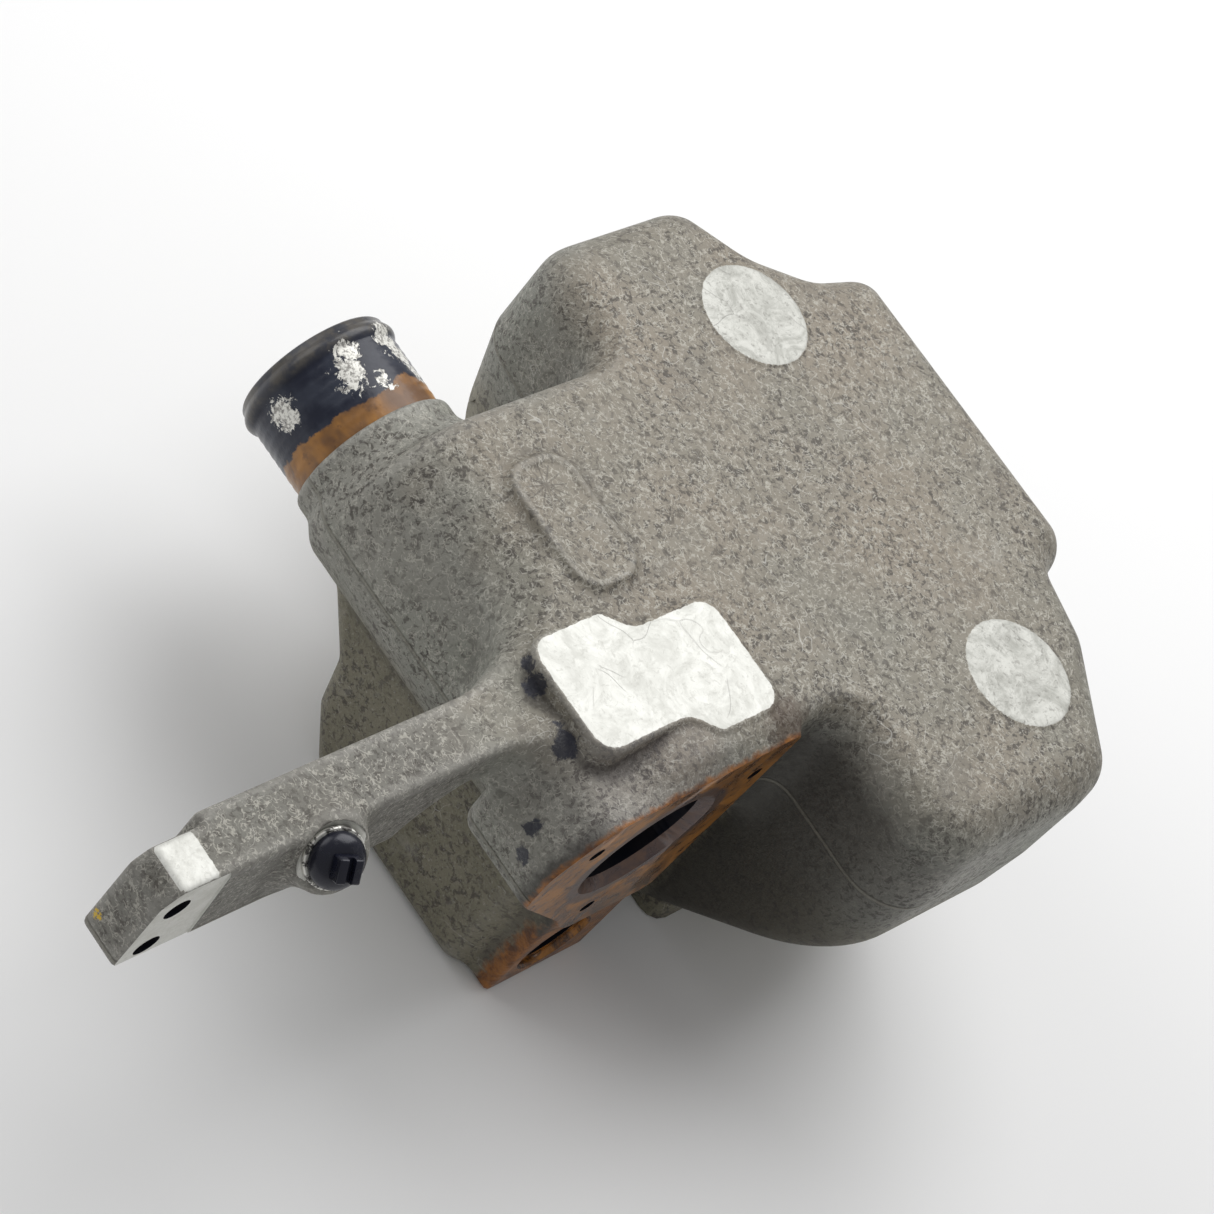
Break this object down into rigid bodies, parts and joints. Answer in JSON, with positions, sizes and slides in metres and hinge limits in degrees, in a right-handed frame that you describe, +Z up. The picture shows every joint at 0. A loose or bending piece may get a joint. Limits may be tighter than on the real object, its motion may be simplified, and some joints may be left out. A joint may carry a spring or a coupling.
{
  "type": "axial piston pump",
  "caption": "Axial piston pump in a flat-topped cast housing, with a beaded hose neck, a bolted port flange and a drilled arm with a plug.",
  "frame": {"origin": "where the drive shaft's axis meets the mounting face, on the underside", "axes": "+Z up along the shaft to the flat top with its machined pads; the hose neck points along -X, the port flange along +X and the drilled arm along -Y"},
  "size_m": [0.2789, 0.448, 0.1592],
  "materials": {
    "cast_aluminium": "weathered as-cast, machined pads bright",
    "painted_tube": "blue-black paint, worn, orange-brown band at the root",
    "plug_black": "black, slightly glossy",
    "washer_steel": "bright, chipped",
    "screw_steel": "plated",
    "gasket_fibre": "matt",
    "seal_rubber": "matt",
    "black_steel": "blackened",
    "bronze": "machined",
    "steel": "machined",
    "ground_steel": "ground"
  },
  "bodies": {
    "housing": {"bias_spring": "steel", "bias_spring_seat": "steel", "control_piston": "ground_steel", "cover_gasket": "gasket_fibre", "cover_screw_1": "screw_steel", "cover_screw_2": "screw_steel", "cover_screw_3": "screw_steel", "cover_screw_4": "screw_steel", "cover_screw_5": "screw_steel", "cover_screw_6": "screw_steel", "cradle_bearing_left": "bronze", "cradle_bearing_right": "bronze", "dowel_pin_1": "ground_steel", "dowel_pin_2": "ground_steel", "front_bearing_outer_race": "ground_steel", "hose_neck": "painted_tube", "main_housing": "cast_aluminium", "mounting_cover": "cast_aluminium", "port_plug": "plug_black", "port_plug_washer": "washer_steel", "rear_bearing_shell": "steel", "seal_retaining_ring": "black_steel", "shaft_seal": "seal_rubber", "swashplate": "steel", "valve_plate": "bronze", "valve_plate_pin": "steel"},
    "rotating_group": {"drive_shaft": "ground_steel", "cylinder_block": "steel", "retainer_plate": "steel", "ball_guide": "steel", "block_spring": "steel", "spring_seat_lower": "steel", "spring_seat_upper": "steel", "front_bearing_inner_race": "ground_steel", "shaft_retaining_ring": "black_steel", "piston_1": "ground_steel", "piston_2": "ground_steel", "piston_3": "ground_steel", "piston_4": "ground_steel", "piston_5": "ground_steel", "piston_6": "ground_steel", "piston_7": "ground_steel", "piston_8": "ground_steel", "piston_9": "ground_steel", "slipper_1": "bronze", "slipper_2": "bronze", "slipper_3": "bronze", "slipper_4": "bronze", "slipper_5": "bronze", "slipper_6": "bronze", "slipper_7": "bronze", "slipper_8": "bronze", "slipper_9": "bronze"},
    "front_bearing_cage": {"front_bearing_rollers": "ground_steel"},
    "rear_bearing_cage": {"rear_bearing_needles": "ground_steel"}
  },
  "joints": [
    {"name": "shaft_rotation", "type": "hinge", "parent": "housing", "child": "rotating_group", "pos_m": [0, 0, 0], "axis": [0, 0, 1], "continuous": true},
    {"name": "front_cage_rotation", "type": "hinge", "parent": "housing", "child": "front_bearing_cage", "pos_m": [0, 0, 0], "axis": [0, 0, 1], "continuous": true},
    {"name": "rear_cage_rotation", "type": "hinge", "parent": "housing", "child": "rear_bearing_cage", "pos_m": [0, 0, 0], "axis": [0, 0, 1], "continuous": true}
  ],
  "couplings": [
    {"joint": "front_cage_rotation", "follows": "shaft_rotation", "ratio": 0.4278},
    {"joint": "rear_cage_rotation", "follows": "shaft_rotation", "ratio": 0.4348}
  ]
}
